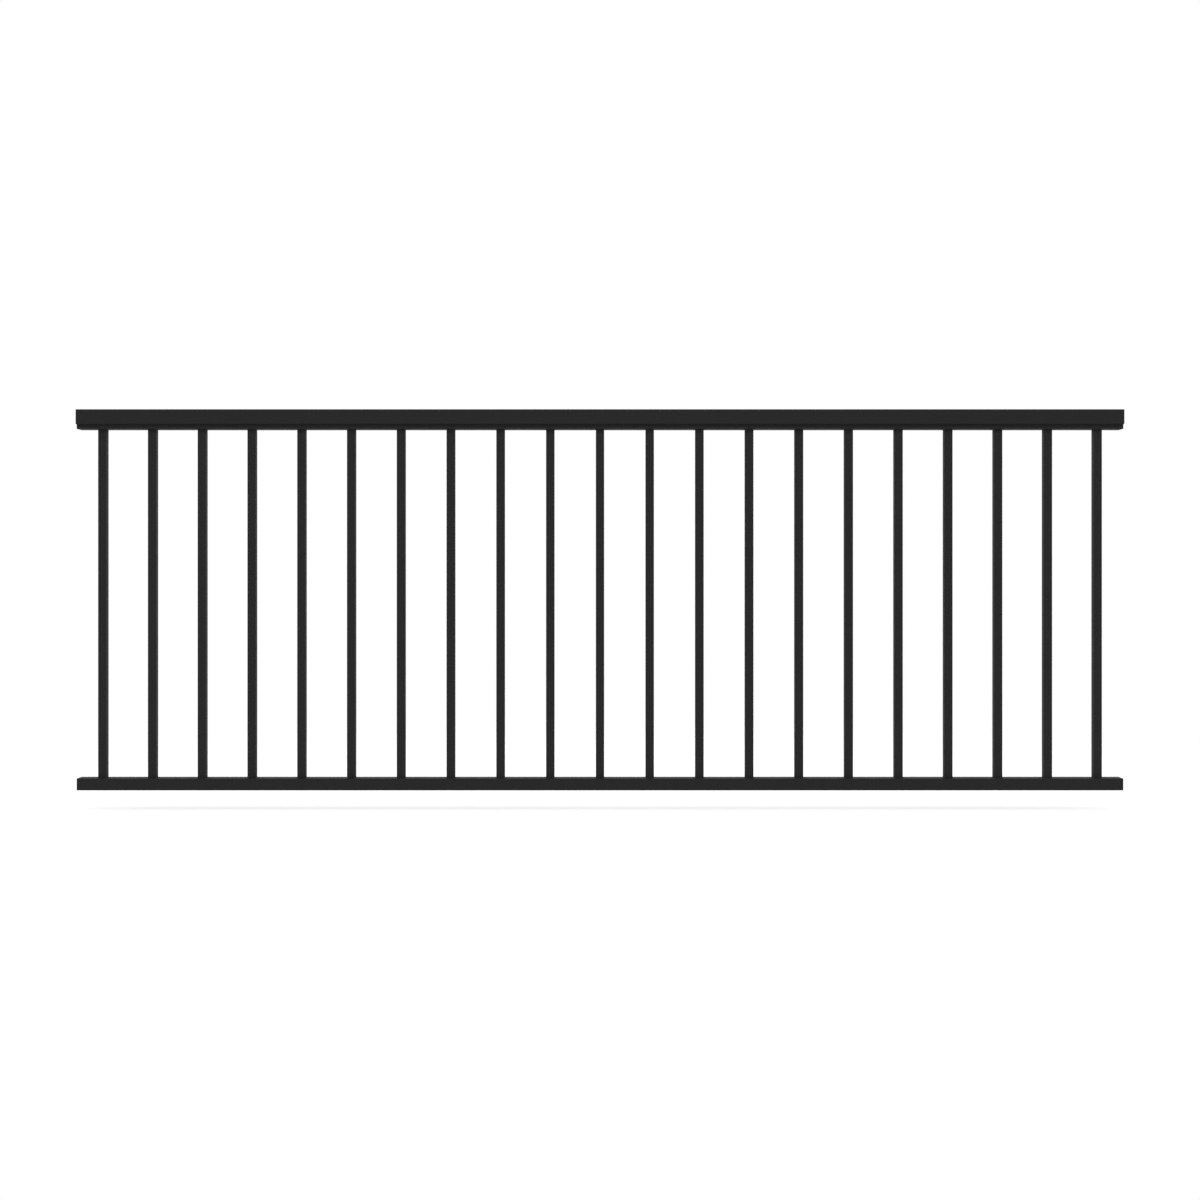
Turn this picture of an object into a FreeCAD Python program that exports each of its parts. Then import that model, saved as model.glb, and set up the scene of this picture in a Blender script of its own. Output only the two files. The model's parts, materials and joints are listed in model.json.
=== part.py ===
"""Deck railing section: a cap rail on a punched channel, a matching bottom rail and square balusters.

Millimetres. X runs along the rails from the left end, Y is the depth, Z is up.
The origin is on the bottom rail's left end face, at the middle of its lower edge.
"""

import FreeCAD
import Part

import math
import os

Vector = FreeCAD.Vector

# Overall
RAIL_LENGTH = 2384.0
CLEAR_HEIGHT = 796.6

# Balusters: square tubes, as many as fit at this gap
BALUSTER_SIDE = 19.05
BALUSTER_WALL = 1.2
BALUSTER_CORNER = 1.0
BALUSTER_GAP = 94.62
BALUSTER_INSERT = 10.5
SHORTEST_END_BAY = 50.0

# Channel: the U-shaped extrusion used for the bottom rail and, turned over, under the cap
CHANNEL_WIDTH = 38.1
CHANNEL_HEIGHT = 27.0
CHANNEL_WALL = 1.8
CHANNEL_WEB = 2.0
CHANNEL_LIP = 4.0
CHANNEL_LIP_THICKNESS = 1.6
CHANNEL_EDGE_RADIUS = 0.8
CHANNEL_ROOT_RADIUS = 0.8
PUNCH_CLEARANCE = 0.25

# Cap rail
CAP_WIDTH = 54.0
CAP_HEIGHT = 33.6
CAP_WALL = 1.8
CAP_REVEAL = 10.4
CAP_EDGE_RADIUS = 1.2
CAP_ROOT_RADIUS = 0.8
TOE_THICKNESS = 1.6
TOE_CLEARANCE = 0.3

# Snap legs of the cap, which grip the channel's lips
LEG_THICKNESS = 1.5
LEG_CLEARANCE = 0.3
SHOULDER_REACH = 2.0
SHOULDER_THICKNESS = 1.4
BARB_REACH = 1.1
BARB_CLEARANCE = 0.2
BARB_LENGTH = 3.4

# Lock strips, flat on the channels' webs and threaded through the balusters
STRIP_WIDTH = 8.0
STRIP_THICKNESS = 2.0
STRIP_CLEARANCE = 0.2
STRIP_END_INSET = 12.0

# Small radius that breaks the sharp edges of every extrusion
EDGE_BREAK = 0.3

# Places that follow from the sizes above
BALUSTER_PITCH = BALUSTER_SIDE + BALUSTER_GAP
BALUSTER_COUNT = int((RAIL_LENGTH - 2 * SHORTEST_END_BAY) // BALUSTER_PITCH) + 1
FIRST_BALUSTER_X = (RAIL_LENGTH - (BALUSTER_COUNT - 1) * BALUSTER_PITCH) / 2
UPPER_CHANNEL_Z = CHANNEL_HEIGHT + CLEAR_HEIGHT
CAP_Z = UPPER_CHANNEL_Z + CAP_REVEAL
LIP_TOP_IN_CAP = CHANNEL_HEIGHT - CAP_REVEAL
MOUTH_HALF = CHANNEL_WIDTH / 2 - CHANNEL_WALL - CHANNEL_LIP
LOWER_WEB_INSIDE_Z = CHANNEL_HEIGHT - CHANNEL_WEB
UPPER_WEB_INSIDE_Z = UPPER_CHANNEL_Z + CHANNEL_WEB
LOWER_STRIP_Z = LOWER_WEB_INSIDE_Z - STRIP_THICKNESS
UPPER_STRIP_Z = UPPER_WEB_INSIDE_Z
BALUSTER_FOOT_Z = LOWER_WEB_INSIDE_Z - BALUSTER_INSERT
BALUSTER_HEAD_Z = UPPER_WEB_INSIDE_Z + BALUSTER_INSERT


def rounded_wire(corners, place):
    """A closed wire through corners (u, v, radius), with an arc at each one; place maps (u, v) to a point."""
    points = [place(u, v) for u, v, _ in corners]
    arcs = []
    for i, (_, _, radius) in enumerate(corners):
        corner = points[i]
        to_last = (points[i - 1] - corner).normalize()
        to_next = (points[(i + 1) % len(points)] - corner).normalize()
        half_angle = to_last.getAngle(to_next) / 2
        setback = radius / math.tan(half_angle)
        bisector = (to_last + to_next).normalize()
        middle = corner + bisector * (radius / math.sin(half_angle) - radius)
        arcs.append((corner + to_last * setback, middle, corner + to_next * setback))
    edges = []
    for i, arc in enumerate(arcs):
        edges.append(Part.Arc(*arc).toShape())
        edges.append(Part.LineSegment(arc[2], arcs[(i + 1) % len(arcs)][0]).toShape())
    return Part.Wire(edges)


def mirrored(half):
    """The whole outline from the corners of its right half: those of the left half are their mirror images."""
    return half + [(-y, z, radius) for y, z, radius in reversed(half)]


def extrusion(half):
    """A bar as long as the rails, from the right half of its section in Y and Z."""
    section = Part.Face(rounded_wire(mirrored(half), lambda y, z: Vector(0, y, z)))
    return section.extrude(Vector(RAIL_LENGTH, 0, 0))


def centred_box(length, width, bottom, top):
    """A box centred on the Z axis, with its length along X."""
    return Part.makeBox(length, width, top - bottom, Vector(-length / 2, -width / 2, bottom))


def baluster_places():
    """How far along the rails each baluster stands."""
    return [FIRST_BALUSTER_X + i * BALUSTER_PITCH for i in range(BALUSTER_COUNT)]


def baluster_punch():
    """The punch for one baluster: square, with corners cut off where the baluster's own are rounded."""
    side = BALUSTER_SIDE + 2 * PUNCH_CLEARANCE
    block = centred_box(side, side, -CHANNEL_WEB, 2 * CHANNEL_WEB)
    uprights = [edge for edge in block.Edges if edge.Vertexes[0].Z != edge.Vertexes[1].Z]
    corner_cut = (BALUSTER_CORNER + PUNCH_CLEARANCE) * (2 - math.sqrt(2))
    return block.makeChamfer(corner_cut, uprights)


def punched_channel():
    """The channel with its web's outer face on Z = 0 and its mouth upwards, punched for every baluster."""
    side = CHANNEL_WIDTH / 2
    inside = side - CHANNEL_WALL
    under_lip = CHANNEL_HEIGHT - CHANNEL_LIP_THICKNESS
    bar = extrusion([
        (inside, CHANNEL_WEB, CHANNEL_ROOT_RADIUS),
        (inside, under_lip, EDGE_BREAK),
        (MOUTH_HALF, under_lip, EDGE_BREAK),
        (MOUTH_HALF, CHANNEL_HEIGHT, EDGE_BREAK),
        (side, CHANNEL_HEIGHT, CHANNEL_EDGE_RADIUS),
        (side, 0, CHANNEL_EDGE_RADIUS),
    ])
    punch = baluster_punch()
    punches = [punch.translated(Vector(x, 0, 0)) for x in baluster_places()]
    return bar.cut(punches)


def upper_channel():
    """The channel under the cap: web down, mouth up into the cap."""
    return punched_channel().translated(Vector(0, 0, UPPER_CHANNEL_Z))


def lower_channel():
    """The bottom rail: the same channel turned over, web up, with its mouth open below so that it drains."""
    turned = punched_channel().rotated(Vector(0, 0, 0), Vector(1, 0, 0), 180)
    return turned.translated(Vector(0, 0, CHANNEL_HEIGHT))


def cap_rail():
    """The flat-topped cap: a C-shaped bar with toes beside the channel and snap legs that hold its lips."""
    side = CAP_WIDTH / 2
    inside = side - CAP_WALL
    ceiling = CAP_HEIGHT - CAP_WALL
    toe = CHANNEL_WIDTH / 2 + TOE_CLEARANCE
    leg_out = MOUTH_HALF - LEG_CLEARANCE
    leg_in = leg_out - LEG_THICKNESS
    shoulder = MOUTH_HALF + SHOULDER_REACH
    shoulder_top = LIP_TOP_IN_CAP + SHOULDER_THICKNESS
    barb_top = LIP_TOP_IN_CAP - CHANNEL_LIP_THICKNESS - BARB_CLEARANCE
    barb = MOUTH_HALF + BARB_REACH
    leg_end = barb_top - BARB_LENGTH
    bar = extrusion([
        (side, CAP_HEIGHT, CAP_EDGE_RADIUS),
        (side, 0, CAP_EDGE_RADIUS),
        (toe, 0, EDGE_BREAK),
        (toe, TOE_THICKNESS, EDGE_BREAK),
        (inside, TOE_THICKNESS, CAP_ROOT_RADIUS),
        (inside, ceiling, CAP_ROOT_RADIUS),
        (leg_out, ceiling, CAP_ROOT_RADIUS),
        (leg_out, shoulder_top, EDGE_BREAK),
        (shoulder, shoulder_top, EDGE_BREAK),
        (shoulder, LIP_TOP_IN_CAP, EDGE_BREAK),
        (leg_out, LIP_TOP_IN_CAP, EDGE_BREAK),
        (leg_out, barb_top, EDGE_BREAK),
        (barb, barb_top, EDGE_BREAK),
        (leg_out, leg_end, EDGE_BREAK),
        (leg_in, leg_end, EDGE_BREAK),
        (leg_in, ceiling, CAP_ROOT_RADIUS),
    ])
    return bar.translated(Vector(0, 0, CAP_Z))


def lock_strip(bottom):
    """The flat strip that lies along a channel's web, inside it, and runs through every baluster."""
    strip = centred_box(RAIL_LENGTH - 2 * STRIP_END_INSET, STRIP_WIDTH, bottom, bottom + STRIP_THICKNESS)
    return strip.translated(Vector(RAIL_LENGTH / 2, 0, 0))


def strip_slot(bottom):
    """What is punched out of a baluster's two side walls to pass a lock strip."""
    width = STRIP_WIDTH + 2 * STRIP_CLEARANCE
    top = bottom + STRIP_THICKNESS
    return centred_box(2 * BALUSTER_SIDE, width, bottom - STRIP_CLEARANCE, top + STRIP_CLEARANCE)


def baluster():
    """One square tube on the Z axis, slotted near both ends for the lock strips."""
    half = BALUSTER_SIDE / 2
    outline = mirrored([(half, half, BALUSTER_CORNER), (half, -half, BALUSTER_CORNER)])
    section = Part.Face(rounded_wire(outline, lambda x, y: Vector(x, y, BALUSTER_FOOT_Z)))
    tube = section.extrude(Vector(0, 0, BALUSTER_HEAD_Z - BALUSTER_FOOT_Z))
    bore_side = BALUSTER_SIDE - 2 * BALUSTER_WALL
    bore = centred_box(bore_side, bore_side, BALUSTER_FOOT_Z, BALUSTER_HEAD_Z)
    slots = [strip_slot(bottom) for bottom in (LOWER_STRIP_Z, UPPER_STRIP_Z)]
    return tube.cut([bore, *slots])


def pieces():
    """Every piece of the section by name, in its place."""
    made = {
        "cap_rail": cap_rail(),
        "upper_channel": upper_channel(),
        "bottom_rail": lower_channel(),
        "upper_lock_strip": lock_strip(UPPER_STRIP_Z),
        "lower_lock_strip": lock_strip(LOWER_STRIP_Z),
    }
    tube = baluster()
    for number, x in enumerate(baluster_places(), start=1):
        made[f"baluster_{number:02d}"] = tube.translated(Vector(x, 0, 0))
    return made


os.makedirs("parts", exist_ok=True)
for name, shape in pieces().items():
    shape.exportStep(f"parts/{name}.step")
    print(f"{name}: {len(shape.Solids)} solid, {shape.Volume / 1000:.1f} cm3, valid {shape.isValid()}")
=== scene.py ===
# %% [markdown]
# A deck railing section in matt black
#
# The CAD model gives every piece of this railing at its real size: a cap rail, the channel that it snaps on,
# the bottom rail, the square balusters and two lock strips. This lesson dresses that frame. It gives each
# piece the finish of the real one, sets up a plain white studio and puts the camera where the photograph
# was taken from. All lengths are metres, in the CAD model's own frame: X along the rails, Z up.

# %% Load the frame
import json

import bpy
import bmesh
from mathutils import Matrix, Vector


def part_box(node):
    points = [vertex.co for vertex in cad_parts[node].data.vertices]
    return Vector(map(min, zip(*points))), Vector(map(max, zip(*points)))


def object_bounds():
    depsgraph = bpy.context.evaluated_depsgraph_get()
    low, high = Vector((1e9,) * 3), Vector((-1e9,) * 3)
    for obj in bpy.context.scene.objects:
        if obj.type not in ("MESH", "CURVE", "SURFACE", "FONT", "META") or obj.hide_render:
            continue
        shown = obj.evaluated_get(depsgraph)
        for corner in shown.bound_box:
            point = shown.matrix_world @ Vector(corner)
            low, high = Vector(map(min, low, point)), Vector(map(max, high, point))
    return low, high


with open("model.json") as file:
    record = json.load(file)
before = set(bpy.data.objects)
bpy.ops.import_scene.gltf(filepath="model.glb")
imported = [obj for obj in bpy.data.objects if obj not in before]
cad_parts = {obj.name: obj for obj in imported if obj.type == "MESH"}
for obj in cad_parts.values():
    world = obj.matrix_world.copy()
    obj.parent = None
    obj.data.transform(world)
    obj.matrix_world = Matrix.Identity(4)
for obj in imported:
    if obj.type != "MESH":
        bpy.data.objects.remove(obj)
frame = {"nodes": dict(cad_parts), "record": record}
CAD_BOX = [list(corner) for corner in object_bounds()]
print(f"{len(frame['nodes'])} pieces, box {CAD_BOX}")

# %% [markdown]
# Three small helpers
#
# Colours are easiest to write as the hex values that a paint program shows, but shaders work in linear
# light, so one function converts them. A second one adds a shader node, fills in its settings and links
# its inputs, which keeps each material short enough to read at a glance. A third starts an empty material.


# %% Colour and node helpers
def linear(hex_colour):
    """The linear RGBA of an sRGB hex colour such as #808080."""
    channels = [int(hex_colour[i:i + 2], 16) / 255 for i in (1, 3, 5)]
    return [c / 12.92 if c <= 0.04045 else ((c + 0.055) / 1.055) ** 2.4 for c in channels] + [1.0]


def add_node(tree, kind, inputs=None, **settings):
    """A node of that kind: settings are its own properties, inputs are values or other nodes' outputs."""
    made = tree.nodes.new(kind)
    for name, value in settings.items():
        setattr(made, name, value)
    for name, value in (inputs or {}).items():
        if isinstance(value, bpy.types.NodeSocket):
            tree.links.new(value, made.inputs[name])
        else:
            made.inputs[name].default_value = value
    return made


def new_material(name):
    """An empty material, with its node tree and its output node."""
    material = bpy.data.materials.new(name)
    material.use_nodes = True
    tree = material.node_tree
    tree.nodes.clear()
    return material, tree, add_node(tree, "ShaderNodeOutputMaterial")


print("middle grey, #808080, is", [round(c, 3) for c in linear("#808080")])

# %% [markdown]
# Powder coat
#
# The rails and balusters are extruded aluminium, sprayed with polyester powder and baked. The powder melts
# into a matt black skin that is never quite even. It has the shallow dimples that painters call orange peel,
# a finer grain on top of them, and a film that is thicker here and thinner there, which shifts the gloss
# over a hand's breadth. All of it is far too shallow to model, so it is made with bump and roughness, in
# Object coordinates, so that the pattern has the same size on a rail as on a baluster.

# %% Powder coat material
# Real dimples and grain are a few microns deep. Here they are coarser and deeper, enough to show.
# Octaves say how many layers of noise, each finer than the last, a pattern is made of.
MM = 0.001
COAT_COLOUR = "#191919"
# The crest colour is a painted highlight: the grain's crests are painted lighter than its hollows.
COAT_CREST_HIGHLIGHT_COLOUR = "#242424"
COAT_IOR = 1.5
COAT_GLOSS = 0.15
COAT_ROUGHNESS = 0.70
GRAIN_ROUGHNESS = 0.16
FILM_ROUGHNESS = 0.10
GRAIN_WIDTH = 0.9 * MM
GRAIN_DEPTH = 0.12 * MM
GRAIN_OCTAVES = 2
ORANGE_PEEL_WIDTH = 4 * MM
ORANGE_PEEL_DEPTH = 0.10 * MM
ORANGE_PEEL_OCTAVES = 1
FILM_PATCH_WIDTH = 90 * MM
FILM_PATCH_OCTAVES = 3


def powder_coat():
    """Baked polyester powder on aluminium: a deep neutral black with a soft, wide highlight."""
    material, tree, output = new_material("matt_black_powder_coat")
    place = add_node(tree, "ShaderNodeTexCoord").outputs["Object"]
    noises = (
        (FILM_PATCH_WIDTH, FILM_PATCH_OCTAVES),
        (ORANGE_PEEL_WIDTH, ORANGE_PEEL_OCTAVES),
        (GRAIN_WIDTH, GRAIN_OCTAVES),
    )
    patches, peel, grain = (
        add_node(tree, "ShaderNodeTexNoise", {"Vector": place, "Scale": 1 / width, "Detail": octaves})
        for width, octaves in noises
    )
    # Painted shade and highlight: the grain's tone varies at random, but it follows the grain's bump, so it
    # is darker in the hollows and lighter on the crests.
    colour = add_node(
        tree,
        "ShaderNodeMix",
        {"Factor": grain.outputs["Fac"], "A": linear(COAT_COLOUR), "B": linear(COAT_CREST_HIGHLIGHT_COLOUR)},
        data_type="RGBA",
    )
    # The grain then takes off half of its own range on average, so the film starts that much higher.
    film = add_node(
        tree,
        "ShaderNodeMapRange",
        {
            "Value": patches.outputs["Fac"],
            "To Min": COAT_ROUGHNESS + (GRAIN_ROUGHNESS - FILM_ROUGHNESS) / 2,
            "To Max": COAT_ROUGHNESS + (GRAIN_ROUGHNESS + FILM_ROUGHNESS) / 2,
        },
    )
    gloss = add_node(
        tree,
        "ShaderNodeMath",
        {0: grain.outputs["Fac"], 1: -GRAIN_ROUGHNESS, 2: film.outputs["Result"]},
        operation="MULTIPLY_ADD",
    )
    dimples = add_node(tree, "ShaderNodeBump", {"Height": peel.outputs["Fac"], "Distance": ORANGE_PEEL_DEPTH})
    skin = add_node(
        tree,
        "ShaderNodeBump",
        {"Height": grain.outputs["Fac"], "Distance": GRAIN_DEPTH, "Normal": dimples.outputs["Normal"]},
    )
    shader = add_node(
        tree,
        "ShaderNodeBsdfPrincipled",
        {
            "Base Color": colour.outputs["Result"],
            "Roughness": gloss.outputs[0],
            "Normal": skin.outputs["Normal"],
            "IOR": COAT_IOR,
            "Specular IOR Level": COAT_GLOSS,
        },
    )
    tree.links.new(shader.outputs["BSDF"], output.inputs["Surface"])
    return material


coat = powder_coat()
print(f"{coat.name}: {len(coat.node_tree.nodes)} nodes, grain {GRAIN_WIDTH / MM:.1f} mm wide")

# %% [markdown]
# Mill aluminium
#
# The lock strips lie hidden in the channels, so nobody coats them. They keep the finish that they leave the
# extruder with: pale grey metal with fine lines along their length, where the die dragged. Lines could be
# drawn one by one, but noise that is stretched along the strip gives them the uneven spacing, the soft ends
# and the change from bright to dull that real die lines have.

# %% Mill aluminium material
# Real die lines lie closer together than these, which are spaced so that they show.
MILL_COLOUR = "#D0D2D4"
DIE_LINE_COLOUR = "#9C9EA0"
MILL_ROUGHNESS = 0.28
DIE_LINE_ROUGHNESS = 0.52
DIE_LINE_SPACING = 0.6 * MM
DIE_LINE_LENGTH = 300 * MM
DIE_LINE_DEPTH = 0.02 * MM
DIE_LINE_OCTAVES = 2
DIE_LINE_EDGES = (0.35, 0.65)


def mill_aluminium():
    """Bare extruded aluminium: a bright metal, dulled along fine lines."""
    material, tree, output = new_material("mill_finish_aluminium")
    place = add_node(tree, "ShaderNodeTexCoord").outputs["Object"]
    stretched = add_node(
        tree,
        "ShaderNodeMapping",
        {"Vector": place, "Scale": (1 / DIE_LINE_LENGTH, 1 / DIE_LINE_SPACING, 1 / DIE_LINE_SPACING)},
    )
    lines = add_node(
        tree,
        "ShaderNodeTexNoise",
        {"Vector": stretched.outputs["Vector"], "Scale": 1, "Detail": DIE_LINE_OCTAVES},
    )
    streaks = add_node(
        tree,
        "ShaderNodeMapRange",
        {"Value": lines.outputs["Fac"], "From Min": DIE_LINE_EDGES[0], "From Max": DIE_LINE_EDGES[1]},
    ).outputs["Result"]
    colour = add_node(
        tree,
        "ShaderNodeMix",
        {"Factor": streaks, "A": linear(MILL_COLOUR), "B": linear(DIE_LINE_COLOUR)},
        data_type="RGBA",
    )
    gloss = add_node(
        tree,
        "ShaderNodeMapRange",
        {"Value": streaks, "To Min": MILL_ROUGHNESS, "To Max": DIE_LINE_ROUGHNESS},
    )
    drag = add_node(tree, "ShaderNodeBump", {"Height": lines.outputs["Fac"], "Distance": DIE_LINE_DEPTH})
    shader = add_node(
        tree,
        "ShaderNodeBsdfPrincipled",
        {
            "Base Color": colour.outputs["Result"],
            "Metallic": 1.0,
            "Roughness": gloss.outputs["Result"],
            "Normal": drag.outputs["Normal"],
        },
    )
    tree.links.new(shader.outputs["BSDF"], output.inputs["Surface"])
    return material


strip_metal = mill_aluminium()
print(f"{strip_metal.name}: {len(strip_metal.node_tree.nodes)} nodes, lines {DIE_LINE_SPACING / MM} mm apart")

# %% [markdown]
# Each piece gets its finish
#
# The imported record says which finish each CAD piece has, so the pieces are dressed by reading it. A list of
# names would do the same, but it would have to follow every change of the model. A CAD piece is never moved
# or reshaped here: only the materials in its slots change.

# %% Dress the CAD pieces
FINISHES = {"black_powder_coat": coat, "mill_aluminium": strip_metal}
for part in frame["record"]["subparts"]:
    materials = frame["nodes"][part["node"]].data.materials
    materials.clear()
    materials.append(FINISHES[part["material_slot"]])
for slot_name in FINISHES:
    dressed = [part["node"] for part in frame["record"]["subparts"] if part["material_slot"] == slot_name]
    print(f"{slot_name}: {len(dressed)} pieces")

# %% [markdown]
# White paper
#
# The photograph shows the railing alone on pure white. White paper on the floor keeps the railing's soft
# shadow, and a little light of its own, which lights nothing else, lifts it to white. A sheet that curves
# up behind, as studios have, would stand in the way of a look from behind. This one lies flat and fades out
# well before its rim, so that no horizon shows, and it is clear from below, so that the underside shows.

# %% Paper material
FLOOR_RADIUS = 2.6
FLOOR_FADES_FROM = 1.3
FLOOR_COLOUR = "#F2F2F2"
FLOOR_LIFT = 0.42


def floor_paper(centre):
    """White paper that fades out far from the railing and shows only from above."""
    material, tree, output = new_material("floor_paper")
    ray = add_node(tree, "ShaderNodeLightPath")
    seen = ray.outputs["Is Camera Ray"]
    for kind in ("Glossy", "Transmission"):
        either = {0: seen, 1: ray.outputs[f"Is {kind} Ray"]}
        seen = add_node(tree, "ShaderNodeMath", either, operation="MAXIMUM").outputs[0]
    lift = add_node(tree, "ShaderNodeMath", {0: seen, 1: FLOOR_LIFT}, operation="MULTIPLY")
    paper = add_node(tree, "ShaderNodeBsdfDiffuse", {"Color": linear(FLOOR_COLOUR)})
    glow = add_node(tree, "ShaderNodeEmission", {"Strength": lift.outputs[0]})
    white = add_node(tree, "ShaderNodeAddShader", {0: paper.outputs[0], 1: glow.outputs[0]})
    clear = add_node(tree, "ShaderNodeBsdfTransparent")
    place = add_node(tree, "ShaderNodeTexCoord").outputs["Object"]
    middle = add_node(tree, "ShaderNodeVectorMath", {0: place, 1: centre}, operation="DISTANCE")
    fade = add_node(
        tree,
        "ShaderNodeMapRange",
        {"Value": middle.outputs["Value"], "From Min": FLOOR_FADES_FROM, "From Max": FLOOR_RADIUS},
        interpolation_type="SMOOTHSTEP",
    )
    underside = add_node(tree, "ShaderNodeNewGeometry").outputs["Backfacing"]
    hidden = add_node(tree, "ShaderNodeMath", {0: fade.outputs["Result"], 1: underside}, operation="MAXIMUM")
    sided = add_node(
        tree, "ShaderNodeMixShader", {"Fac": hidden.outputs[0], 1: white.outputs[0], 2: clear.outputs[0]}
    )
    tree.links.new(sided.outputs[0], output.inputs["Surface"])
    return material


print(f"paper fades from {FLOOR_FADES_FROM} m to {FLOOR_RADIUS} m")

# %% [markdown]
# The floor
#
# Such a railing hangs about two inches above its deck. The paper lies where that deck would be, as a disc
# under the railing's middle. A circle with its inside filled is all that it takes.

# %% Floor
FLOOR_DROP = 50 * MM
FLOOR_SEGMENTS = 96


def studio_floor(centre):
    """A wide disc of paper under the railing."""
    shape = bmesh.new()
    place = Matrix.Translation(centre)
    bmesh.ops.create_circle(shape, cap_ends=True, segments=FLOOR_SEGMENTS, radius=FLOOR_RADIUS, matrix=place)
    mesh = bpy.data.meshes.new("studio_floor")
    shape.to_mesh(mesh)
    shape.free()
    mesh.materials.append(floor_paper(centre))
    floor = bpy.data.objects.new("studio_floor", mesh)
    bpy.context.scene.collection.objects.link(floor)
    return floor


low, high = (Vector(corner) for corner in CAD_BOX)
MIDDLE = (low + high) / 2
floor = studio_floor(Vector((MIDDLE.x, MIDDLE.y, low.z - FLOOR_DROP)))
print(f"{floor.name} lies {FLOOR_DROP / MM:.0f} mm under the bottom rail")

# %% [markdown]
# The room
#
# The world is white to the camera, as the photograph's background is. White all round would flatten the
# railing, whose underside is darker than its top. So to the railing it is a dim room with a white backdrop
# behind, which only its gloss picks up: a face that meets the eye at a grazing angle looks lighter than one
# seen square. The view transform is set to Standard, so that white stays white and black stays black.

# %% World
WORLD_COLOUR = "#FFFFFF"
ROOM_LEVEL = 0.45
BACKDROP_EDGE = 0.5


def studio_world():
    """White to the camera, with a white backdrop for mirror rays and a dim room for everything else."""
    world = bpy.data.worlds.new("white_studio")
    world.use_nodes = True
    tree = world.node_tree
    tree.nodes.clear()
    direction = add_node(tree, "ShaderNodeTexCoord").outputs["Generated"]
    parts = add_node(tree, "ShaderNodeSeparateXYZ", {"Vector": direction})
    backdrop = add_node(
        tree,
        "ShaderNodeMapRange",
        {"Value": parts.outputs["Y"], "From Min": -BACKDROP_EDGE, "From Max": BACKDROP_EDGE},
        interpolation_type="SMOOTHSTEP",
    )
    ray = add_node(tree, "ShaderNodeLightPath")
    mirrored = add_node(
        tree,
        "ShaderNodeMath",
        {0: backdrop.outputs["Result"], 1: ray.outputs["Is Glossy Ray"]},
        operation="MULTIPLY",
    )
    white = mirrored.outputs[0]
    for kind in ("Camera", "Transmission"):
        either = {0: white, 1: ray.outputs[f"Is {kind} Ray"]}
        white = add_node(tree, "ShaderNodeMath", either, operation="MAXIMUM").outputs[0]
    level = add_node(tree, "ShaderNodeMapRange", {"Value": white, "To Min": ROOM_LEVEL})
    sky = add_node(
        tree, "ShaderNodeBackground", {"Color": linear(WORLD_COLOUR), "Strength": level.outputs["Result"]}
    )
    output = add_node(tree, "ShaderNodeOutputWorld")
    tree.links.new(sky.outputs["Background"], output.inputs["Surface"])
    return world


bpy.context.scene.world = studio_world()
bpy.context.scene.view_settings.view_transform = "Standard"
print(f"{bpy.context.scene.world.name}: the room is at {ROOM_LEVEL} of white")

# %% [markdown]
# Soft light
#
# Six softboxes light the railing. The key hangs above and in front, so that the cap shades the channel under
# it as in the photograph. A weaker one hangs behind, so that the back isn't lost in the dark, and one
# overhead lights the tops of the rails. A wide low one behind the camera fills the faces that look at the
# lens, and an upright one at each end lights the sides of the balusters. Area lamps are used because their
# size is what makes a shadow soft.

# %% Softboxes
SOFTBOXES = {
    "key_softbox": {"place": (0.0, -2.2, 2.6), "size": (4.2, 1.2), "power": 34.0},
    "overhead_softbox": {"place": (0.0, 0.1, 2.9), "size": (3.2, 1.0), "power": 12.0},
    "front_softbox": {"place": (0.0, -4.6, 0.8), "size": (4.8, 1.4), "power": 39.0},
    "rear_softbox": {"place": (0.0, 2.8, 2.4), "size": (4.2, 1.2), "power": 20.0},
    "left_softbox": {"place": (-3.4, -1.2, 0.9), "size": (1.0, 1.8), "power": 16.0},
    "right_softbox": {"place": (3.4, -1.2, 0.9), "size": (1.0, 1.8), "power": 16.0},
}


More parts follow.
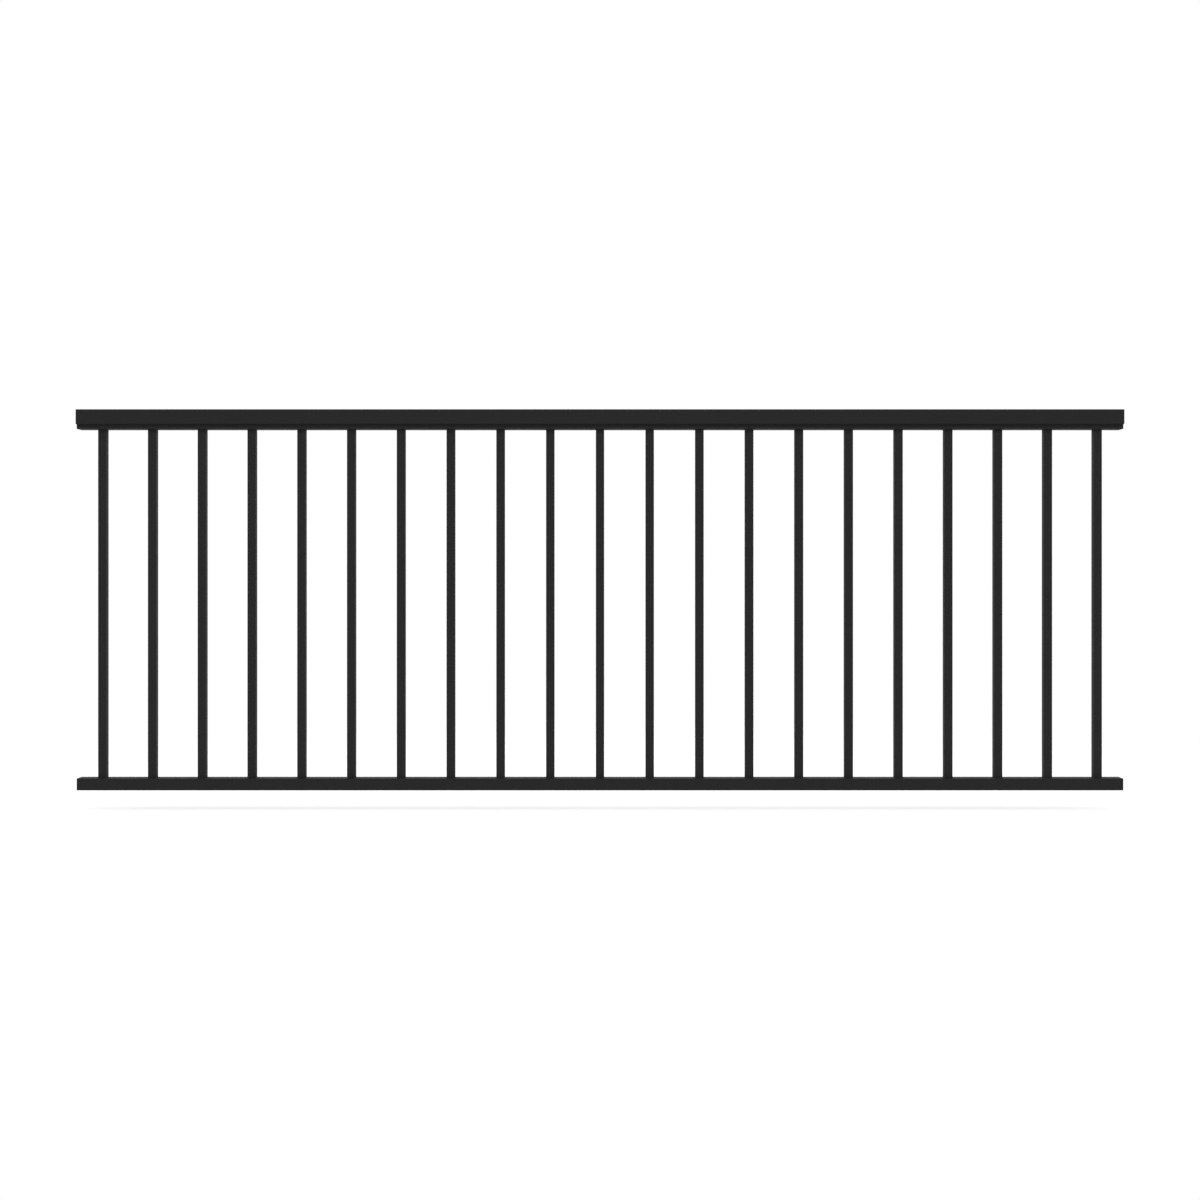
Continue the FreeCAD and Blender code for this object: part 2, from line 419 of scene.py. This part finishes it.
def softbox(name, place, size, power):
    """An area lamp, placed from the point under the railing's middle and turned towards that middle."""
    lamp = bpy.data.lights.new(name, "AREA")
    lamp.shape = "RECTANGLE"
    lamp.size, lamp.size_y = size
    lamp.energy = power
    box = bpy.data.objects.new(name, lamp)
    box.location = Vector((MIDDLE.x, MIDDLE.y, 0)) + Vector(place)
    box.rotation_euler = (MIDDLE - box.location).to_track_quat("-Z", "Y").to_euler()
    bpy.context.scene.collection.objects.link(box)
    return box


for name, settings in SOFTBOXES.items():
    softbox(name, **settings)
print(f"{len(SOFTBOXES)} softboxes, {sum(box['power'] for box in SOFTBOXES.values()):.0f} W in all")

# %% [markdown]
# The camera
#
# The photograph was taken square on, with the lens level: uprights stay upright, and the rails' inner faces
# show how high the lens stood. The railing's length in the picture and its real length give the focal length
# for any distance, and the distance follows from how much of each baluster's side shows near the ends.

# %% Camera
PHOTO_SIDE_PX = 1200
RAIL_LENGTH_PX = 1046.7
HORIZON_PX = 577.0
LENS_TO_RAIL_FACE = 3.85
LENS_HEIGHT = 0.4862
SENSOR = 36.0


def photo_camera():
    """A level camera square to the railing, framed as the photograph is."""
    rail_low, rail_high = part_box("bottom_rail")
    focal_px = RAIL_LENGTH_PX * LENS_TO_RAIL_FACE / (rail_high.x - rail_low.x)
    data = bpy.data.cameras.new("photo_camera")
    data.sensor_width = SENSOR
    data.lens = SENSOR * focal_px / PHOTO_SIDE_PX
    data.shift_y = (HORIZON_PX - PHOTO_SIDE_PX / 2) / PHOTO_SIDE_PX
    camera = bpy.data.objects.new("photo_camera", data)
    camera.location = (MIDDLE.x, rail_low.y - LENS_TO_RAIL_FACE, rail_low.z + LENS_HEIGHT)
    camera.rotation_euler = Vector((0, 1, 0)).to_track_quat("-Z", "Y").to_euler()
    bpy.context.scene.collection.objects.link(camera)
    bpy.context.scene.camera = camera
    return camera


camera = photo_camera()
print(f"lens {camera.data.lens:.1f} mm at {camera.location.y:.2f} m, shift {camera.data.shift_y:.4f}")
